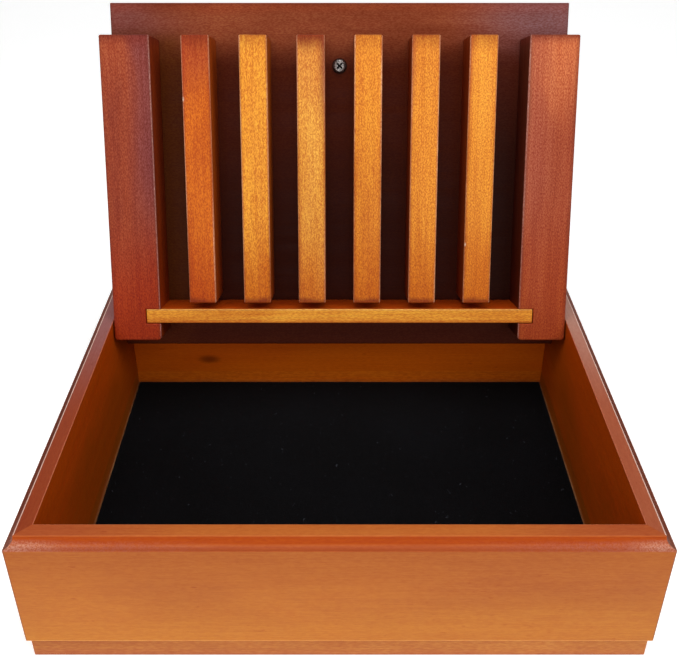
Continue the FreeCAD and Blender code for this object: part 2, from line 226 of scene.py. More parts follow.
# Two tones mix by the stain clouds. Zones, burnt edges and spots are laid over them in turn, and
# the product of four noise ramps, raised to its own power in red, green and blue, shades the lot.
def woodMaterial(name, **changes):
    look = {**woodLook, **changes}
    material, tree, shader = freshShader(name)
    place = grainPlace(tree)
    seed = look["seed"]
    shift = (seed * 1.7, seed * 3.1, seed * 2.3)

    cloud = noiseNode(tree, stretched(tree, place, look["cloud"], shift), 4, 0.55, 0.4)
    fibre = noiseNode(tree, stretched(tree, place, look["fibreSize"], shift), 2, 0.6)
    band, streak, pore, fleck = (noiseNode(tree, stretched(tree, place, cells, shift), *kind)
                                 for cells, *kind in woodNoise.values())
    color = blendColors(tree, rise(tree, cloud, 0.28, 0.72), look["dark"], look["light"])

    axes = dict(zip("xyz", splitUp(tree, place)))
    for axis in "xyz":
        axes["abs" + axis] = mathNode(tree, "ABSOLUTE", axes[axis])
    wander = mathNode(tree, "SUBTRACT", cloud, 0.5)

    for patch in look["zones"]:
        amount = patch["amount"]
        for index, (axis, start, stop) in enumerate(patch["ramps"]):
            level = axes[axis]
            if index == 0 and patch["jitter"]:  # the first ramp's border wanders with the clouds
                level = mathNode(tree, "MULTIPLY_ADD", wander, patch["jitter"], level)
            amount = mathNode(tree, "MULTIPLY", rise(tree, level, start, stop), amount)
        if patch["grit"]:  # broken up like crazed varnish
            crumbs = noiseNode(tree, stretched(tree, place, (patch["grit"],) * 3, shift), 2, 0.6, 1.0)
            amount = mathNode(tree, "MULTIPLY", rise(tree, crumbs, 0.44, 0.56, 0.15, 1.0), amount)
        color = blendColors(tree, amount, color, patch["tone"])

    if look["edgeAmount"] > 0:  # the second smallest of the three insets is the way to an edge
        insets = [mathNode(tree, "SUBTRACT", half, axes["abs" + axis])
                  for half, axis in zip(look["half"], "xyz")]
        smaller = mathNode(tree, "MINIMUM", insets[0], insets[1])
        larger = mathNode(tree, "MAXIMUM", insets[0], insets[1])
        toEdge = mathNode(tree, "MAXIMUM", smaller, mathNode(tree, "MINIMUM", larger, insets[2]))
        toEdge = mathNode(tree, "MULTIPLY_ADD", wander, look["edgeReach"] * 1.6, toEdge)
        burnt = rise(tree, toEdge, look["edgeReach"], 0.0, 0.0, look["edgeAmount"])
        color = blendColors(tree, burnt, color, look["edge"])

    for middle, radii, outer, inner, amount, tone in look["spots"]:  # fades in from outer to inner
        scale = tuple(1 / radius for radius in radii)
        centre = tuple(-level / radius for level, radius in zip(middle, radii))
        away = tree.nodes.new("ShaderNodeVectorMath")
        away.operation = "LENGTH"
        feed(tree, away.inputs[0], stretched(tree, place, scale, centre))
        cover = rise(tree, away.outputs["Value"], outer, inner, 0.0, amount)
        color = blendColors(tree, cover, color, tone)

    lines = mathNode(tree, "ADD", mathNode(tree, "MULTIPLY", streak, 0.6),
                     mathNode(tree, "MULTIPLY", band, 0.4))
    shade = rise(tree, lines, 0.36, 0.62, 1 - look["streak"], 1 + look["streak"] * 0.35)
    for part in (rise(tree, fleck, 0.72, 0.82, 1.0, 1 - look["speck"]),
                 rise(tree, pore, 0.62, 0.74, 1.0, 0.90),
                 rise(tree, fibre, 0.32, 0.68, 1 - look["fibre"], 1 + look["fibre"])):
        shade = mathNode(tree, "MULTIPLY", shade, part)
    stain = tree.nodes.new("ShaderNodeCombineColor")  # darker grain is also redder
    for socket, power in zip(stain.inputs, (0.6, 1.4, 1.7)):
        feed(tree, socket, mathNode(tree, "POWER", shade, power))
    color = blendColors(tree, 1.0, color, stain.outputs[0], "MULTIPLY")

    tree.links.new(color, shader.inputs["Base Color"])
    rough = rise(tree, band, 0.3, 0.7, look["roughness"] - 0.04, look["roughness"] + 0.08)
    tree.links.new(rough, shader.inputs["Roughness"])
    shader.inputs["Coat Weight"].default_value = look["coat"]
    shader.inputs["Coat Roughness"].default_value = 0.22
    shader.inputs["Specular IOR Level"].default_value = look["specular"]
    relief = mathNode(tree, "SUBTRACT", mathNode(tree, "MULTIPLY", streak, 0.5),
                      mathNode(tree, "MULTIPLY", pore, 0.5))
    bumpFrom(tree, shader, relief, look["bump"], 0.4 * mm)
    return material


# Corners in order round the outline; each is replaced by an arc tangent to its two sides.
def roundedOutline(corners, radii, steps=5):
    corners = np.asarray(corners, float)
    count = len(corners)
    points = []
    for index in range(count):
        corner, radius = corners[index], radii[index]
        before = corners[index - 1] - corner
        after = corners[(index + 1) % count] - corner
        before, after = before / np.linalg.norm(before), after / np.linalg.norm(after)
        if radius <= 0:
            points.append(corner[None])
            continue
        half = 0.5 * math.acos(np.clip(before @ after, -1, 1))
        middle = corner + (before + after) / np.linalg.norm(before + after) * radius / math.sin(half)
        start, stop = corner + before * radius / math.tan(half), corner + after * radius / math.tan(half)
        share = np.linspace(0, 1, steps)[:, None]
        swing = math.pi - 2 * half  # turning angle of the arc
        arc = (np.sin((1 - share) * swing) * (start - middle)
               + np.sin(share * swing) * (stop - middle)) / math.sin(swing)
        points.append(middle + arc)
    return np.concatenate(points)


# Mean of the two sides' outward normals at each point, lengthened so that an inset is even.
def outlineNormals(outline):
    step = np.roll(outline, -1, 0) - outline
    step /= np.linalg.norm(step, axis=1)[:, None]
    normal = np.stack([step[:, 1], -step[:, 0]], 1)
    pair = normal + np.roll(normal, 1, 0)
    pair /= np.linalg.norm(pair, axis=1)[:, None]
    stretch = np.clip((pair * normal).sum(1), 0.5, 1)
    x, y = outline.T
    area = 0.5 * np.sum(x * np.roll(y, -1) - np.roll(x, -1) * y)
    return pair / stretch[:, None] * np.sign(area)


# Quads between successive closed rings of count points, numbered ring after ring.
def ringFaces(rings, count):
    ring = np.arange(rings - 1)[:, None] * count
    here = np.arange(count)[None]
    there = (here + 1) % count
    quads = np.stack([ring + here, ring + there, ring + count + there, ring + count + here], 2)
    return quads.reshape(-1, 4).tolist()


# A smooth-shaded piece on its body. grain is its points' places in their own board.
def makePiece(name, points, faces, grain, material, body, replaced, sharp=32):
    mesh = bpy.data.meshes.new(name)
    mesh.from_pydata(np.asarray(points).tolist(), [], faces)
    shell = bmesh.new()
    shell.from_mesh(mesh)
    bmesh.ops.recalc_face_normals(shell, faces=shell.faces)
    shell.to_mesh(mesh)
    shell.free()
    if grain is not None:
        layer = mesh.attributes.new("grain", "FLOAT_VECTOR", "POINT")
        layer.data.foreach_set("vector", np.asarray(grain, np.float32).ravel())
    mesh.polygons.foreach_set("use_smooth", np.ones(len(mesh.polygons), bool))
    mesh.set_sharp_from_angle(angle=math.radians(sharp))
    mesh.materials.append(material)
    piece = bpy.data.objects.new(name, mesh)
    bpy.context.scene.collection.objects.link(piece)
    even = piece.modifiers.new("evenNormals", "WEIGHTED_NORMAL")
    even.keep_sharp = True
    even.weight = 100
    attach(piece, body)
    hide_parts(*replaced)
    return piece


def oblong(low, high, a, b, radii, steps=5):  # between two corners, seen along directions a and b
    corners = [(low[a], low[b]), (high[a], low[b]), (high[a], high[b]), (low[a], high[b])]
    return roundedOutline(corners, radii, steps)


# An outline carried straight from low to high. Near each end it is drawn in along its normals by
# r(1 - sin t) while the level runs r(1 - cos t), which rounds the end's edge.
def carried(outline, low, high, roundLow, roundHigh, steps=5):
    normals = outlineNormals(outline)
    turn = np.linspace(0, math.pi / 2, steps)
    insets = np.concatenate([roundLow * (1 - np.sin(turn)), roundHigh * (1 - np.sin(turn[::-1]))])
    levels = np.concatenate([low + roundLow * (1 - np.cos(turn)),
                             high - roundHigh * (1 - np.cos(turn[::-1]))])
    flat = outline[None] - normals[None] * insets[:, None, None]
    level = np.broadcast_to(levels[:, None, None], flat.shape[:2] + (1,))
    points = np.concatenate([flat, level], 2).reshape(-1, 3)
    count, rings = len(outline), len(levels)
    faces = ringFaces(rings, count)
    faces += [list(range(count)), list(range((rings - 1) * count, rings * count))]
    return points, faces


# A profile of (radius, level) rows spun round the level axis; both ends close on the axis.
def turned(profile, steps=48):
    angle = np.arange(steps) / steps * 2 * math.pi
    radius, level = np.asarray(profile, float).T
    x = radius[:, None] * np.cos(angle)
    z = radius[:, None] * np.sin(angle)
    y = np.broadcast_to(level[:, None], x.shape)
    points = np.stack([x, y, z], 2).reshape(-1, 3)
    faces = ringFaces(len(profile), steps)
    faces += [list(range(steps)), list(range(len(points) - steps, len(points)))]
    return points, faces


# A wall's section lies in (depth from the outer face, height). It is carried along the wall, and
# each point stops where its depth meets the mitre, so the ends close at 45 degrees.

wallLow, wallHigh = rowBox("left_wall")
stripLow, stripHigh = rowBox("plinth_left")
halfWidth = rowBox("right_wall")[1][0]
halfDepth = rowBox("back_wall")[1][1]
wallThick = wallHigh[0] - wallLow[0]
rimHeight = wallHigh[2]
plinthTop = stripHigh[2]
plinthInset = stripLow[0] - wallLow[0]

moulding = {
    "coveRadius": 4.5 * mm,
    "step": 0.7 * mm,
    "cornerRound": 1.1 * mm,  # upright outer corners
    "lipRound": 0.5 * mm,
    "rimRound": 0.45 * mm,
    "foot": 0.5 * mm,
}
plinthShape = {"play": 0.2 * mm, "footRound": 0.7 * mm, "topRound": 0.3 * mm}
stepHeight = rimHeight - moulding["step"]  # the step stands over the cove, the cove over the lip
lipHeight = stepHeight - moulding["coveRadius"]


# Anticlockwise from the outer foot: in along the foot, up the inside, across the rim, down the
# step, round the hollow as a quarter circle about the outer corner, and down the face.
def wallSection():
    cove, edge = moulding["coveRadius"], stepHeight
    sweep = np.linspace(0, math.pi / 2, 12)[:, None]
    hollow = np.concatenate([cove * np.cos(sweep), edge - cove * np.sin(sweep)], 1)
    lower = roundedOutline(
        [(0, plinthTop), (wallThick, plinthTop), (wallThick, rimHeight), (cove, rimHeight),
         (cove, edge), (0, edge - cove)],
        [moulding["foot"], 0, moulding["rimRound"], moulding["rimRound"] * 0.8, 0, 0])[:-2]
    lip = moulding["lipRound"]
    bend = np.linspace(0, math.pi / 2, 5)[1:, None]
    lipArc = np.concatenate([lip - lip * np.sin(bend), edge - cove - lip + lip * np.cos(bend)], 1)
    hollow = hollow[hollow[:, 0] > lip]
    return np.concatenate([lower, hollow, [(lip, edge - cove)], lipArc])


# The strip is an oblong with a rabbet cut up into its inner foot for the floor.
def stripSection():
    floorHigh = rowBox("floor_panel")[1]
    rabbet = floorHigh[0] - (halfWidth - wallThick)
    step = wallThick - rabbet - plinthShape["play"]
    return roundedOutline(
        [(plinthInset, 0), (step, 0), (step, floorHigh[2]), (wallThick, floorHigh[2]),
         (wallThick, plinthTop), (plinthInset, plinthTop)],
        [plinthShape["footRound"], 0, 0, 0, 0, plinthShape["topRound"]])


# Every station is the mitre cut, along = L - depth, drawn back. Round the outer corner the turn t
# goes from 0 to 45 degrees: the cut is drawn back by r(cos t - sin t), and no point lies nearer the
# face than r(1 - cos t), which together give a circle of radius r.
def mitredBoard(section, halfLength, faceDepth, stations=9, bends=4):
    depth, height = section.T
    r = moulding["cornerRound"]
    arc = np.linspace(0, math.pi / 4, bends + 1)[1:]
    turn = np.concatenate([arc[::-1], np.zeros(stations), arc])[:, None]
    share = np.concatenate([-np.ones(bends), np.linspace(-1, 1, stations), np.ones(bends)])[:, None]
    cut = np.maximum(depth[None], faceDepth + r * (1 - np.cos(turn)))
    along = share * (halfLength - cut - r * (np.cos(turn) - np.sin(turn)))
    points = np.stack([along, cut, np.broadcast_to(height, along.shape)], 2).reshape(-1, 3)
    count = len(section)
    faces = ringFaces(len(share), count)
    faces += [list(range(count)), list(range(len(points) - count, len(points)))]
    return points, faces


sides = {  # half length, turn about Z, place of the outer face's middle
    "front": (halfWidth, 0, (0, -halfDepth)),
    "back": (halfWidth, 180, (0, halfDepth)),
    "left": (halfDepth, -90, (-halfWidth, 0)),
    "right": (halfDepth, 90, (halfWidth, 0)),
}


def turnBoard(points, degrees, place):  # turned about Z and moved to place
    cos, sin = math.cos(math.radians(degrees)), math.sin(math.radians(degrees))
    x, y, z = points.T
    return np.stack([x * cos - y * sin + place[0], x * sin + y * cos + place[1], z], 1)


honey = {
    "light": swatch(190, 112, 42),
    "dark": swatch(168, 90, 36),
    "upper": swatch(164, 84, 30),
    "lower": swatch(196, 122, 44),
    "inside": swatch(192, 76, 3),
    "insideLow": swatch(156, 72, 2),
    "backInside": swatch(222, 96, 8),  # painted light: lighter, making up for the lid's shadow on the back wall's inside
    "backInsideLow": swatch(232, 112, 12),
    "cove": swatch(170, 66, 0),
    "coveDeep": swatch(140, 40, 0),
    # painted shade: the side walls' cove is darker, as in shade
    "sideCove": swatch(118, 42, 8),
    "lip": swatch(166, 72, 30),
    # painted shade: the side walls' lip is darker, as in shade
    "sideLip": swatch(98, 42, 22),
    "crazed": swatch(172, 100, 84),
    # worn varnish at the ends; the same pale tone is also a painted highlight on the inner rim
    "worn": swatch(232, 190, 168),
    # a painted highlight along the side walls' step edge
    "line": swatch(240, 206, 190),
    "footLine": swatch(236, 170, 96),
    "cornerLine": swatch(84, 38, 18),
    "plinthLight": swatch(190, 119, 54),
    "plinthDark": swatch(170, 96, 44),
    "dust": swatch(176, 98, 56),
    "ground": swatch(116, 54, 26),
}
rims = {  # tone, tone far along, and where along the board it changes; the far tone on the left and right is a painted sheen
    "front": (swatch(196, 106, 46), swatch(172, 78, 40), ("absx", 0.05, 0.135)),
    "back": (swatch(178, 90, 44), swatch(162, 72, 40), ("absx", 0.03, 0.135)),
    "left": (swatch(150, 62, 32), swatch(150, 106, 108), ("x", 0.03, -0.10)),
    "right": (swatch(170, 88, 58), swatch(194, 150, 134), ("x", -0.03, 0.10)),
}
wallLook = {
    "light": honey["light"],
    "dark": honey["dark"],
    "cloud": (7.0, 16.0, 16.0),
    "streak": 0.07,
    "speck": 0.2,
    "fibre": 0.06,
    "specular": 0.11,
}
plinthLook = {**wallLook, "light": honey["plinthLight"], "dark": honey["plinthDark"],
              "streak": 0.12, "fibre": 0.12}
backKnot = ((0.0885, wallThick, 0.022), (4.6 * mm, 2.1 * mm, 2.1 * mm), 2.2, 0.4, 0.75,
            swatch(120, 48, 6))
innerSide = near("y", wallThick, -1.2, -0.2)


# In order: the face's lower and upper tones, the inside, the rim with a painted sheen far along the
# sides, the cove, the lip, both painted darker as shade on the sides, crazed and worn varnish towards
# the ends, a painted highlight on the inner rim, and fine lines at the foot and the corners; on the
# sides a painted highlight runs along the step.
def wallZones(side, halfLength):
    outerFace = ("y", 1.5 * mm, 0.6 * mm)
    outside = near("y", moulding["coveRadius"], 1.1, 0.7)
    inCove = near("y", moulding["coveRadius"], 0.5, 0.2)
    underStep = near("z", stepHeight, 0.5, -0.1)
    onTop = near("y", wallThick, -0.1, -0.5)
    rimNear, rimFar, rimChange = rims[side]
    onSide = side in ("left", "right")
    cove, lip, crazed = honey["cove"], honey["lip"], 1.0
    # on the sides the cove and lip take painted shade
    if onSide:
        cove, lip, crazed = honey["sideCove"], honey["sideLip"], 0.35
    inside, insideLow = honey["inside"], honey["insideLow"]
    # the back wall's inside takes the painted-light tones
    if side == "back":
        inside, insideLow = honey["backInside"], honey["backInsideLow"]
    zones = [
        zone(honey["lower"], 0.7, ("z", 0.046, 0.012), outerFace, jitter=0.05),
        zone(honey["upper"], 0.6, ("z", 0.042, 0.072), outerFace, jitter=0.05),
        zone(inside, 0.95, innerSide),
        zone(insideLow, 0.6, ("z", 0.052, 0.016), innerSide, jitter=0.12),
        zone(rimNear, 0.95, near("z", lipHeight, -0.3, 0.1), onTop),
        # on the left and right walls the far rim tone is a painted sheen
        zone(rimFar, 0.8, rimChange, near("z", rimHeight, -0.3, -0.1), onTop, jitter=0.05),
        zone(cove, 0.95, near("z", lipHeight, 0.6, 1.6), underStep, inCove),
        zone(honey["coveDeep"], 0.8, near("z", stepHeight, -0.3, 2.2), underStep, inCove, jitter=0.01),
        zone(lip, 0.85, near("z", lipHeight, 1.6, 0.4), near("z", lipHeight, -0.5, 0.0), outside,
             jitter=0.004),
        zone(honey["crazed"], 0.45 * crazed, near("absx", halfLength, -110, -30), outside,
             near("z", lipHeight, -0.6, 0.0), near("z", lipHeight, 2.8, 1.2), jitter=0.12, grit=1100),
        zone(honey["worn"], 0.36 * crazed, near("absx", halfLength, -30, -2), outside,
             near("z", lipHeight, -0.6, 0.2), near("z", lipHeight, 3.7, 0.8), jitter=0.05, grit=1400),
        # a painted highlight on the rim's inner edge
        zone(honey["worn"], 0.25, near("y", wallThick, -0.5, -0.1), near("z", rimHeight, -0.5, -0.1)),
        zone(honey["footLine"], 0.4, near("z", plinthTop, 1.1, 0.4), outerFace),
        zone(honey["cornerLine"], 0.6, near("absx", halfLength, -1.1, -0.4), outside,
             near("z", lipHeight, 0.2, -0.3)),
    ]
    if onSide:  # a painted highlight along the step's edge
        zones.append(zone(honey["line"], 0.85, near("y", moulding["coveRadius"], 0.7, 0.4),
                          near("z", stepHeight, -0.2, 0.1)))
    return zones


def plinthZones(side):  # the inside, dust on the foot and a dark line at the ground
    # the back plinth's inside takes the painted-light tone too
    inside = honey["backInsideLow"] if side == "back" else honey["insideLow"]
    return [zone(inside, 0.9, innerSide),
            zone(honey["dust"], 0.7, ("z", 6 * mm, 1 * mm), jitter=0.01),
            zone(honey["ground"], 0.7, ("z", 0.9 * mm, 0.4 * mm))]


section, strip = wallSection(), stripSection()
for number, (side, (halfLength, degrees, place)) in enumerate(sides.items()):
    local, faces = mitredBoard(section, halfLength, 0.0)
    wood = woodMaterial(f"{side}WallWood", **wallLook, seed=3.7 + number,
                        zones=wallZones(side, halfLength), spots=[backKnot] if side == "back" else [])
    makePiece(f"{side}Wall", turnBoard(local, degrees, place), faces, local, wood,
              "box", [f"{side}_wall"])
    local, faces = mitredBoard(strip, halfLength, plinthInset)
    wood = woodMaterial(f"{side}PlinthWood", **plinthLook, seed=11.3 + number, zones=plinthZones(side))
    makePiece(f"{side}Plinth", turnBoard(local, degrees, place), faces, local, wood,
              "box", [f"plinth_{side}"])
print("walls and plinth made")


# Lid outlines are drawn in the lid's own directions and turned into the row frame last.

panelLow, panelHigh = lidBox("lid_panel")
panelMiddle = (panelLow + panelHigh) / 2
screwLow, screwHigh = lidBox("knob_screw")
screwUp = (screwLow[2] + screwHigh[2]) / 2
railLow, railHigh = lidBox("right_rail")
ledgeLow, ledgeHigh = lidBox("ledge_board")


# An outline carried straight. order says which of x, out, up its two directions and the carry are,
# and grainOrder which of them run along, across and through the grain.
def lidPiece(name, outline, levels, rounds, order, grainOrder, look, node):
    local, faces = carried(outline, *levels, *rounds)
    lidPoints = np.empty_like(local)
    lidPoints[:, list(order)] = local
    middle = (lidPoints.min(0) + lidPoints.max(0)) / 2
    grain = (lidPoints - middle)[:, list(grainOrder)]
    wood = woodMaterial(name + "Wood", **look, half=tuple(np.abs(grain).max(0).tolist()))
    makePiece(name, lidToRow(lidPoints), faces, grain, wood, "lid", [node])


alongUp, alongX = (2, 0, 1), (0, 2, 1)  # grain directions as (along, across, through)
frontView, sideView = (0, 2, 1), (1, 2, 0)

panelShape = {"rearRound": 4.0 * mm, "round": 0.7 * mm, "endRound": 0.6 * mm}
innerFace = ("z", 0.0, -2 * mm)  # the side that carries the slats
# a painted contact shadow round the screw head
screwShadowRing = ((0, screwUp - panelMiddle[2], panelLow[1] - panelMiddle[1]), (1 * mm,) * 3,
             5.0, 4.1, 0.85, swatch(16, 6, 2))
panelLook = {
    "light": swatch(144, 72, 42),
    "dark": swatch(122, 54, 28),
    "edge": swatch(60, 24, 14),
    "edgeReach": 0.003,
    "edgeAmount": 0.3,
    "cloud": (10, 26, 26),
    "streak": 0.10,
    "fibre": 0.24,
    "fibreSize": (700, 1900, 1900),
    "specular": 0.06,
    "coat": 0.0,
    "seed": 21.0,
    "spots": [screwShadowRing],
    "zones": [
        zone(swatch(120, 68, 66), 0.7, ("absx", 0.085, 0.135), innerFace, jitter=0.08),  # painted sheen towards the ends
        zone(swatch(128, 88, 90), 0.6, ("x", 0.060, 0.120), innerFace, jitter=0.04),  # painted sheen on the right
        zone(swatch(160, 54, 18), 0.2, ("y", 0.098, 0.104), innerFace, jitter=0.012),  # free edge
        zone(swatch(88, 28, 4), 0.93, ("y", 0.094, 0.066), innerFace, jitter=0.03),  # painted shade from the slats' tops down
        zone(swatch(60, 15, 0), 0.9, ("y", 0.062, -0.030), innerFace, jitter=0.04),  # painted shade between the slats
        zone(swatch(96, 44, 4), 0.75, ("x", -0.086, -0.102), innerFace, ("y", 0.094, 0.080),
             jitter=0.01),  # painted shade in the gap at the left rail
        zone(swatch(44, 15, 5), 0.7, ("x", 0.070, 0.105), innerFace, ("y", 0.080, 0.0),
             jitter=0.02),  # painted shade in the gap at the right rail
        zone(swatch(112, 44, 22), 0.5, ("y", -0.082, -0.090), innerFace),  # the painted shade made lighter under the ledge
    ],
}
panelRounds = [panelShape[key] for key in ("round", "rearRound", "round", "round")]
lidPiece("lidPanel", oblong(panelLow, panelHigh, 1, 2, panelRounds, 7), (panelLow[0], panelHigh[0]),
         (panelShape["endRound"],) * 2, sideView, alongX, panelLook, "lid_panel")

railShape = {"foot": 2.4 * mm, "top": 1.0 * mm, "front": 0.8 * mm, "back": 0.2 * mm,
             "play": 0.4 * mm}
slotLow, slotHigh = ledgeLow[2] - railShape["play"], ledgeHigh[2]
slotEnd = ledgeHigh[0] + railShape["play"]


# The right rail's front view with the ledge's slot in its inner side, mirrored for the left.
def railOutline(sign):
    corners = [(railLow[0], railLow[2]), (railHigh[0], railLow[2]), (railHigh[0], railHigh[2]),
               (railLow[0], railHigh[2]), (railLow[0], slotHigh), (slotEnd, slotHigh),
               (slotEnd, slotLow), (railLow[0], slotLow)]
    foot, top = railShape["foot"], railShape["top"]
    outline = roundedOutline(corners, [foot, foot, top, top, 0, 0, 0, 0])
    return outline * (sign, 1)


railLook = {
    "edge": swatch(84, 28, 16),
    "edgeReach": 0.0022,
    "edgeAmount": 0.4,
    "cloud": (9, 44, 44),
    "streak": 0.20,
    "fibre": 0.38,
    "fibreSize": (800, 1900, 1900),
}
railTones = {
    # flank is painted shade on the side faces, nearly black on the right rail
    "left": dict(light=swatch(156, 66, 34), dark=swatch(128, 48, 30), top=swatch(162, 74, 42),
                 foot=swatch(160, 46, 4), inner=swatch(112, 52, 56), flank=swatch(150, 54, 6)),
    "right": dict(light=swatch(178, 86, 50), dark=swatch(152, 66, 38), top=swatch(206, 112, 66),
                  foot=swatch(160, 62, 18), inner=swatch(170, 86, 60), flank=swatch(60, 15, 4)),
    "burnt": swatch(120, 40, 26),
    # on the rails this pale tone is a painted highlight
    "worn": swatch(232, 176, 160),
}


def railZones(tones, sign):  # the inner front edge lies at minus sign times the half width
    halfAcross, halfDeep, halfLength = (railHigh - railLow) / 2
    return [
        zone(tones["top"], 0.8, ("x", 0.020, 0.080), jitter=0.06),
        zone(tones["inner"], 0.7, ("y", 0.002 * sign, -0.013 * sign), ("x", -0.05, 0.02), jitter=0.03),
        zone(tones["foot"], 0.85, ("x", -0.005, -0.070), jitter=0.06),
        # painted shade on the side faces
        zone(tones["flank"], 0.85, near("z", -halfDeep, 0.9, 1.4)),
        zone(railTones["burnt"], 0.6, near("x", halfLength, -7.0, -0.8), jitter=0.012),
        # a painted highlight along the inner front edge
        zone(railTones["worn"], 0.45, near("y", -sign * halfAcross, 0.9 * sign, 0.3 * sign),
             near("z", -halfDeep, 0.9, 0.4), jitter=0.001),
    ]


for side, sign, seed in (("left", -1, 31.0), ("right", 1, 37.0)):
    tones = railTones[side]
    look = {**railLook, "light": tones["light"], "dark": tones["dark"], "seed": seed,
            "zones": railZones(tones, sign)}
    lidPiece(side + "Rail", railOutline(sign), (railLow[1], railHigh[1]),
             (railShape["front"], railShape["back"]), frontView, alongUp, look,
             side + "_rail")

slatShape = {"corner": 1.0 * mm, "front": 0.9 * mm, "back": 0.2 * mm}
slatLook = {
    "edge": swatch(150, 58, 12),
    "edgeReach": 0.0020,
    "edgeAmount": 0.5,
    "cloud": (10, 60, 60),
    "streak": 0.15,
    "fibre": 0.32,
    "fibreSize": (850, 2000, 2000),
    "speck": 0.2,
}
slatTones = {
    "foot": swatch(200, 92, 3),
    "burnt": swatch(124, 38, 12),
    # painted shade on the flanks, darker on the left ones, and a painted highlight along the front edges
    "flank": swatch(176, 76, 14),
    "leftFlank": swatch(112, 34, 4),
    "worn": swatch(232, 176, 140),
    "chip": swatch(250, 236, 214),
}
slats = [  # side is the stained edge, right 1 or left -1, and chip a place along it from -1 to 1
    dict(light=swatch(214, 108, 20), dark=swatch(192, 86, 14), top=swatch(168, 68, 28), topAmount=0.85,
         burn=0.75, side=-1, sideTone=swatch(176, 66, 26), chip=0.54, foot=swatch(184, 66, 2)),
    dict(light=swatch(232, 150, 46), dark=swatch(222, 134, 34), top=swatch(226, 144, 48), topAmount=0.3,
         burn=0.35),
    dict(light=swatch(230, 158, 62), dark=swatch(218, 140, 48), top=swatch(206, 120, 50), topAmount=0.6,
         burn=0.95, side=1, sideTone=swatch(128, 62, 44)),
    dict(light=swatch(226, 138, 40), dark=swatch(212, 122, 30), top=swatch(222, 132, 42), topAmount=0.4,
         burn=0.25),
    dict(light=swatch(228, 140, 42), dark=swatch(214, 124, 32), top=swatch(226, 142, 50), topAmount=0.4,
         burn=0.5, side=-1, sideTone=swatch(196, 104, 48)),
    dict(light=swatch(232, 148, 48), dark=swatch(222, 134, 38), top=swatch(232, 148, 52), topAmount=0.4,
         burn=0.45, side=-1, sideTone=swatch(190, 88, 36), chip=-0.54),
]


# In order: the top's and the foot's tones, one stained edge, both burnt ends, painted shade on the
# flanks, darker on the left ones, and a pale painted highlight along the front edges.
def slatZones(slat, halfAcross, halfDeep, halfLength):
    zones = [zone(slat["top"], slat["topAmount"], ("x", 0.030, 0.070), jitter=0.06),
             zone(slat.get("foot", slatTones["foot"]), 0.75, ("x", -0.020, -0.080), jitter=0.04)]
    if "side" in slat:
        side = slat["side"]
        zones.append(zone(slat["sideTone"], 0.8, near("y", side * halfAcross, -4.0 * side, -0.4 * side),
                          ("x", 0.0, 0.070), jitter=0.006))
    return zones + [
        zone(slatTones["burnt"], slat["burn"], near("x", halfLength, -11, 1), jitter=0.012),
        zone(slatTones["burnt"], 0.75, near("x", -halfLength, 4.5, 0.8), jitter=0.008),
        zone(slatTones["flank"], 0.8, near("z", -halfDeep, 0.85, 2.35)),
        zone(slatTones["leftFlank"], 0.85, near("y", -halfAcross, 1.2, 0.6),
             near("z", -halfDeep, 0.85, 1.85)),
        zone(slatTones["worn"], 0.65, near("absy", halfAcross, -0.8, -0.2),
             near("z", -halfDeep, 1.15, 0.55), jitter=0.002),
    ]


for index, slat in enumerate(slats):
    node = f"slat_{index + 1}"
    low, high = lidBox(node)
    halfAcross, halfDeep, halfLength = (high - low) / 2
    spots = []
    if "chip" in slat:
        chipMiddle = (slat["chip"] * halfLength, 0.5 * mm - halfAcross, 0.3 * mm - halfDeep)
        chipRadii = (0.8 * mm, 0.35 * mm, 0.35 * mm)
        spots = [(chipMiddle, chipRadii, 2.2, 0.4, 0.75, slatTones["chip"])]
    look = {**slatLook, "light": slat["light"], "dark": slat["dark"], "seed": 41.0 + 3 * index,
            "spots": spots, "zones": slatZones(slat, halfAcross, halfDeep, halfLength)}
    lidPiece(f"slat{index + 1}", oblong(low, high, 0, 2, [slatShape["corner"]] * 4),
             (low[1], high[1]), (slatShape["front"], slatShape["back"]), frontView, alongUp, look,
             node)

ledgeShape = {"corner": 0.4 * mm, "front": 0.5 * mm, "back": 0.2 * mm}
halfDeep, halfTall = (ledgeHigh[1:] - ledgeLow[1:]) / 2
ledgeLook = {
    "light": swatch(238, 158, 50),
    "dark": swatch(222, 136, 38),
    "edge": swatch(170, 82, 20),
    "edgeReach": 0.0012,
    "edgeAmount": 0.2,
    "cloud": (12, 50, 50),
    "streak": 0.20,
    "fibre": 0.22,
    "fibreSize": (500, 1900, 1900),
    "speck": 0.2,
    "seed": 71.0,
    "zones": [
        zone(swatch(196, 66, 3), 0.9, near("z", -halfDeep, 0.85, 2.05)),  # painted shade on the faces behind its front
        zone(swatch(200, 100, 28), 0.7, near("y", -halfTall, 3.0, 0.4), jitter=0.002),
        zone(swatch(250, 196, 110), 0.6, near("y", halfTall, -0.8, -0.2),
             near("z", -halfDeep, 2.05, 0.85)),  # a painted highlight on the upper front edge
    ],
}
lidPiece("ledgeBoard", oblong(ledgeLow, ledgeHigh, 0, 2, [ledgeShape["corner"]] * 4),
         (ledgeLow[1], ledgeHigh[1]), (ledgeShape["front"], ledgeShape["back"]), frontView, alongX,
         ledgeLook, "ledge_board")


knobLow, knobHigh = lidBox("lid_knob")
knobUp = (knobLow[2] + knobHigh[2]) / 2
knobShape = {"neck": 4.5 * mm, "waist": 0.5 * mm, "neckLength": 3.0 * mm, "under": 1.2 * mm}
knobLook = {
    "light": swatch(176, 86, 54),
    "dark": swatch(142, 60, 38),
    "streak": 0.2,
    "cloud": (40, 90, 90),
    "seed": 81.0,
}


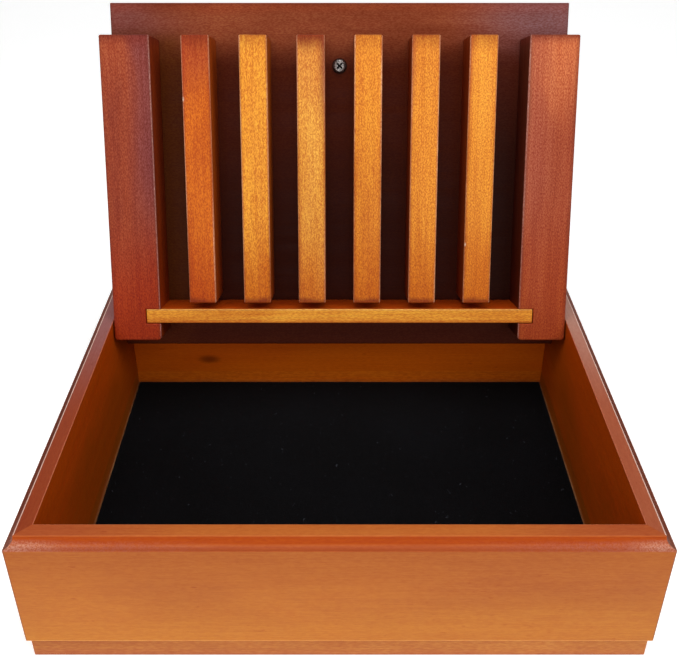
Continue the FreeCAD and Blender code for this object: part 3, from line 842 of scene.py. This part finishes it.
# Up a slightly waisted neck, out round the underside and over a domed top. The neck's waist is a
# sine dip, and the dome a quarter ellipse made fuller by a power of 0.7 on its cosine.
def knobProfile():
    radius, base, top = knobHigh[0], knobLow[1], knobHigh[1]
    up = np.linspace(0, 1, 8)
    neck = np.stack([knobShape["neck"] - knobShape["waist"] * np.sin(up * math.pi),
                     base + up * knobShape["neckLength"]], 1)
    bend = np.linspace(0, math.pi / 2, 7)
    under = knobShape["under"]
    lower = np.stack([radius - under + under * np.sin(bend),
                      base + knobShape["neckLength"] + under - under * np.cos(bend)], 1)
    crown = np.linspace(0, math.pi / 2, 15)
    height = top - base - knobShape["neckLength"] - under
    dome = np.stack([radius * np.cos(crown) ** 0.7, top - height + height * np.sin(crown)], 1)[1:]
    dome[-1, 0] = 0.05 * mm  # the closing face stays a tiny disc
    return np.concatenate([neck, lower, dome])


local, faces = turned(knobProfile())
makePiece("lidKnob", lidToRow(local + (0, 0, knobUp)), faces, local[:, [0, 2, 1]],
          woodMaterial("lidKnobWood", **knobLook), "lid", ["lid_knob"])

screwShape = {"arm": 2.2 * mm, "halfSlot": 0.52 * mm, "depth": 1.2 * mm, "slotTurn": 45}


# A polar height field. The pan rises from its rim to the head's height as (1 - s^6)^0.35, where s is
# the share of the radius, and the cross is pressed in within half a slot of either arm's line.
def screwHead(rings=44, steps=144):
    low, headRadius = screwLow[1], screwHigh[0]
    share = np.linspace(1, 0.004, rings)[:, None]
    angle = np.arange(steps)[None] / steps * 2 * math.pi
    radius = headRadius * share
    x, z = radius * np.cos(angle), radius * np.sin(angle)
    spin = math.radians(screwShape["slotTurn"])
    a, b = x * math.cos(spin) + z * math.sin(spin), z * math.cos(spin) - x * math.sin(spin)
    headHeight = panelLow[1] - low
    pan = headHeight * (1 - share ** 6) ** 0.35
    arm, slot = screwShape["arm"], screwShape["halfSlot"]
    inside = np.maximum(np.minimum((slot - np.abs(a)) / slot, (arm - np.abs(b)) / slot),
                        np.minimum((slot - np.abs(b)) / slot, (arm - np.abs(a)) / slot))
    pressed = np.clip(inside * 2.5, 0, 1) * screwShape["depth"]
    level = panelLow[1] - np.maximum(pan - pressed, 0.2 * mm * (1 - share))
    points = np.stack([np.broadcast_to(x, level.shape), level, np.broadcast_to(z, level.shape)], 2)
    back = points[0] * (1, 0, 1) + (0, panelLow[1], 0)
    points = np.concatenate([back[None], points]).reshape(-1, 3)
    faces = ringFaces(rings + 1, steps)
    faces += [list(range(steps)), list(range(len(points) - steps, len(points)))]
    return points, faces


def screwMetal(name):  # blackened head, polished bare on its crown where drivers have turned
    material, tree, shader = freshShader(name)
    place = grainPlace(tree)
    mottle = noiseNode(tree, stretched(tree, place, (900, 900, 900), (3, 5, 7)), 3)
    bare = rise(tree, splitUp(tree, place)[1], panelLow[1] - 1.25 * mm, panelLow[1] - 1.5 * mm)
    black = blendColors(tree, rise(tree, mottle, 0.4, 0.65), swatch(8, 8, 8), swatch(26, 24, 24))
    bright = blendColors(tree, rise(tree, mottle, 0.35, 0.6), swatch(96, 92, 90), swatch(176, 170, 166))
    tree.links.new(blendColors(tree, bare, black, bright), shader.inputs["Base Color"])
    tree.links.new(rise(tree, mottle, 0.3, 0.7, 0.30, 0.48), shader.inputs["Roughness"])
    shader.inputs["Metallic"].default_value = 0.85
    bumpFrom(tree, shader, mottle, 0.1, 0.2 * mm)
    return material


local, faces = screwHead()
makePiece("knobScrew", lidToRow(local + (0, 0, knobUp)), faces, local, screwMetal("screwSteel"),
          "lid", ["knob_screw"], sharp=50)
print("lid made")


feltShape = {"columns": 150, "rows": 116, "ripple": 0.12 * mm, "edge": 0.7 * mm}
feltLow, feltHigh = rowBox("felt_pad")


# A closed pad. Its top is z = t + ripple times three crossed sines, and it rounds down over its
# edge as a quarter circle of the way to the rim; the bottom is the same grid laid flat.
def feltPad():
    u = np.linspace(-1, 1, feltShape["columns"])[None]
    v = np.linspace(-1, 1, feltShape["rows"])[:, None]
    u, v = np.broadcast_arrays(np.sign(u) * np.abs(u) ** 0.8, np.sign(v) * np.abs(v) ** 0.8)
    x, y = u * feltHigh[0], v * feltHigh[1]
    inset = np.minimum(feltHigh[0] - np.abs(x), feltHigh[1] - np.abs(y))
    edge = feltShape["edge"]
    drop = edge - np.sqrt(np.clip(edge ** 2 - np.clip(edge - inset, 0, edge) ** 2, 0, None))
    waves = np.sin(41 * x + 17 * y) + np.sin(-23 * x + 52 * y + 1.3) + np.sin(90 * x + 75 * y + 0.4)
    top = feltHigh[2] - feltShape["ripple"] + feltShape["ripple"] / 3 * waves - drop * 0.8
    upper = np.stack([x, y, top], 2).reshape(-1, 3)
    lower = np.stack([x, y, np.full_like(x, feltLow[2])], 2).reshape(-1, 3)
    rows, columns = x.shape
    index = np.arange(rows * columns).reshape(rows, columns)
    quads = np.stack([index[:-1, :-1], index[:-1, 1:], index[1:, 1:], index[1:, :-1]], 2)
    quads = quads.reshape(-1, 4)
    border = np.concatenate([index[0, :-1], index[:-1, -1], index[-1, :0:-1], index[:0:-1, 0]])
    after = np.roll(border, -1)
    shift = rows * columns
    walls = np.stack([border, after, after + shift, border + shift], 1)
    faces = quads.tolist() + (quads[:, ::-1] + shift).tolist() + walls[:, ::-1].tolist()
    return np.concatenate([upper, lower]), faces


# Matted black fibre: a fine noise gives the nap, a slow one the dust, and the rare peaks of a
# stretched one the lint.
def feltCloth(name):
    material, tree, shader = freshShader(name)
    place = objectPlace(tree)
    nap = noiseNode(tree, stretched(tree, place, (1500, 1500, 1500), (0, 0, 0)), 3, 0.7, 1.2)
    cloud = noiseNode(tree, stretched(tree, place, (16, 16, 16), (4, 2, 0)), 3, 0.6)
    lint = noiseNode(tree, stretched(tree, place, (520, 330, 400), (9, 1, 0)), 2, 0.6, 0.8)
    color = blendColors(tree, rise(tree, nap, 0.35, 0.7), swatch(3, 3, 4), swatch(14, 14, 16))
    color = blendColors(tree, rise(tree, cloud, 0.35, 0.75, 0.0, 0.35), color, swatch(14, 15, 19))
    color = blendColors(tree, rise(tree, lint, 0.70, 0.76, 0.0, 0.75), color, swatch(66, 68, 76))
    tree.links.new(color, shader.inputs["Base Color"])
    shader.inputs["Roughness"].default_value = 0.95
    shader.inputs["Specular IOR Level"].default_value = 0.05
    shader.inputs["Sheen Weight"].default_value = 0.03
    shader.inputs["Sheen Roughness"].default_value = 0.5
    bumpFrom(tree, shader, nap, 0.5, 0.6 * mm)
    return material


points, faces = feltPad()
felt = makePiece("feltPad", points, faces, None, feltCloth("blackFelt"), "box", ["felt_pad"])
felt.modifiers.clear()


# A straight board between a node's corners, carried along its last named direction.
def plainBoard(name, node, order, rounds, look):
    low, high = rowBox(node)
    a, b, c = order
    outline = oblong(low, high, a, b, [rounds] * 4)
    local, faces = carried(outline, low[c], high[c], rounds, rounds)
    points = np.empty_like(local)
    points[:, list(order)] = local
    makePiece(name, points, faces, points - (low + high) / 2, woodMaterial(name + "Wood", **look),
              "box", [node])


floorLook = {
    "light": swatch(168, 120, 78),
    "dark": swatch(140, 92, 54),
    "roughness": 0.6,
    "coat": 0.0,
    "seed": 91.0,
}
cleatLook = {"light": honey["inside"], "dark": honey["insideLow"], "seed": 95.0}
plainBoard("floorPanel", "floor_panel", (0, 1, 2), 0.3 * mm, floorLook)
plainBoard("lidRestCleat", "lid_rest_cleat", (1, 2, 0), 0.5 * mm, cleatLook)


def brightSteel(name):  # drawn pin stock: fine turning marks round the pin
    material, tree, shader = freshShader(name)
    place = objectPlace(tree)
    marks = noiseNode(tree, stretched(tree, place, (6000, 300, 300), (0, 0, 0)), 2)
    color = blendColors(tree, rise(tree, marks, 0.3, 0.7), swatch(176, 176, 180), swatch(206, 206, 208))
    tree.links.new(color, shader.inputs["Base Color"])
    tree.links.new(rise(tree, marks, 0.3, 0.7, 0.22, 0.36), shader.inputs["Roughness"])
    shader.inputs["Metallic"].default_value = 1.0
    return material


# A plug is a short turned cylinder with a softened rim and a crown that rises as c(2 - c) in the
# share c of the way to its middle. It stands a hair proud, clear of the wall's own face.
def plugProfile(radius, length):
    crown = np.linspace(0, 1, plugShape["rings"])
    across = radius - plugShape["rim"] - crown * (radius - 1.5 * plugShape["rim"])
    level = length + plugShape["shoulder"] + plugShape["crown"] * crown * (2 - crown)
    side = [(radius, 0), (radius, length + plugShape["side"])]
    return np.concatenate([side, np.stack([across, level], 1)])


plugShape = {"rings": 7, "rim": 0.1 * mm, "side": 0.03 * mm, "shoulder": 0.07 * mm,
             "crown": 0.05 * mm}
plugLook = {"light": swatch(176, 98, 40), "dark": swatch(150, 78, 32), "streak": 0.25}
steel = brightSteel("pinSteel")
for side, sign in (("left", -1), ("right", 1)):
    pin = frame["nodes"][f"pivot_pin_{side}"]
    pin.material_slots[0].link = "OBJECT"
    pin.material_slots[0].material = steel
    low, high = rowBox(f"pivot_plug_{side}")
    radius = (high[2] - low[2]) / 2
    length = high[0] - low[0]
    local, faces = turned(plugProfile(radius, length))
    outward = local[:, 1] * sign + (low[0] if sign > 0 else high[0])
    points = np.stack([outward, local[:, 0] + pivot[1], local[:, 2] + pivot[2]], 1)
    wood = woodMaterial(f"{side}PlugWood", **plugLook, seed=101.0 + sign)
    makePiece(f"{side}PivotPlug", points, faces, local, wood, "box",
              [f"pivot_plug_{side}"])
print("felt, floor, pins and plugs made")


def softLight(name, place, target, size, power):  # a soft rectangle turned towards target
    lamp = bpy.data.lights.new(name, "AREA")
    lamp.shape = "RECTANGLE"
    lamp.size, lamp.size_y = size
    lamp.energy = power
    holder = bpy.data.objects.new(name, lamp)
    holder.location = place
    holder.rotation_euler = (Vector(target) - Vector(place)).to_track_quat("-Z", "Y").to_euler()
    bpy.context.scene.collection.objects.link(holder)


studio = {  # each light is place, target, size and power
    "floorHalf": 3.0,
    "floorDrop": 0.3 * mm,
    "sky": 0.05,
    "horizon": 0.60,
    "paperGlow": 0.50,
    "left": ((-1.2, -0.7, 1.4), (0, 0, 0.1), (1.0, 1.0), 8.3),
    "right": ((1.2, -0.7, 1.4), (0, 0, 0.1), (1.0, 1.0), 11.0),
    "top": ((0, -0.35, 1.5), (0, 0, 0.08), (1.2, 0.9), 9.7),
    "front": ((0, -1.7, 0.75), (0, 0, 0.08), (1.6, 0.6), 7.6),
    "back": ((0, 1.7, 0.8), (0, 0, 0.1), (2.6, 1.0), 6.0),
}
half = studio["floorHalf"]
floorCorners = [(-half, -half, 0), (half, -half, 0), (half, half, 0), (-half, half, 0)]
ground = bpy.data.meshes.new("studioFloor")
ground.from_pydata(floorCorners, [], [(0, 1, 2, 3)])
floor = bpy.data.objects.new("studioFloor", ground)
bpy.context.scene.collection.objects.link(floor)
floor.location.z = -studio["floorDrop"]
paper, paperTree, paperShader = freshShader("studioPaper")
paperNoise = noiseNode(paperTree, objectPlace(paperTree), 3)
paperColor = blendColors(paperTree, paperNoise, (0.90, 0.90, 0.90, 1), (0.92, 0.92, 0.92, 1))
paperTree.links.new(paperColor, paperShader.inputs["Base Color"])
paperShader.inputs["Roughness"].default_value = 0.9
paperShader.inputs["Emission Color"].default_value = (1, 1, 1, 1)
paperShader.inputs["Emission Strength"].default_value = studio["paperGlow"]
ground.materials.append(paper)

world = bpy.data.worlds.new("studioSky")
world.use_nodes = True
skyTree = world.node_tree
sky = skyTree.nodes["Background"]
sky.inputs[0].default_value = (1, 1, 1, 1)
height = splitUp(skyTree, skyTree.nodes.new("ShaderNodeTexCoord").outputs["Generated"])[2]
feed(skyTree, sky.inputs[1], rise(skyTree, height, 0.0, 0.32, studio["horizon"], studio["sky"]))
bpy.context.scene.world = world
for name in ("left", "right", "top", "front", "back"):
    softLight(name + "Light", *studio[name])

view = {"place": (0, -0.413, 0.3728), "pitch": 32.12, "lens": 48.95}
lens = bpy.data.cameras.new("mainCamera")
lens.lens = view["lens"]
lens.sensor_width = 36
camera = bpy.data.objects.new("mainCamera", lens)
camera.location = view["place"]
camera.rotation_euler = (math.radians(90 - view["pitch"]), 0, 0)
bpy.context.scene.collection.objects.link(camera)
bpy.context.scene.camera = camera
bpy.context.scene.view_settings.view_transform = "Standard"
print("studio made")
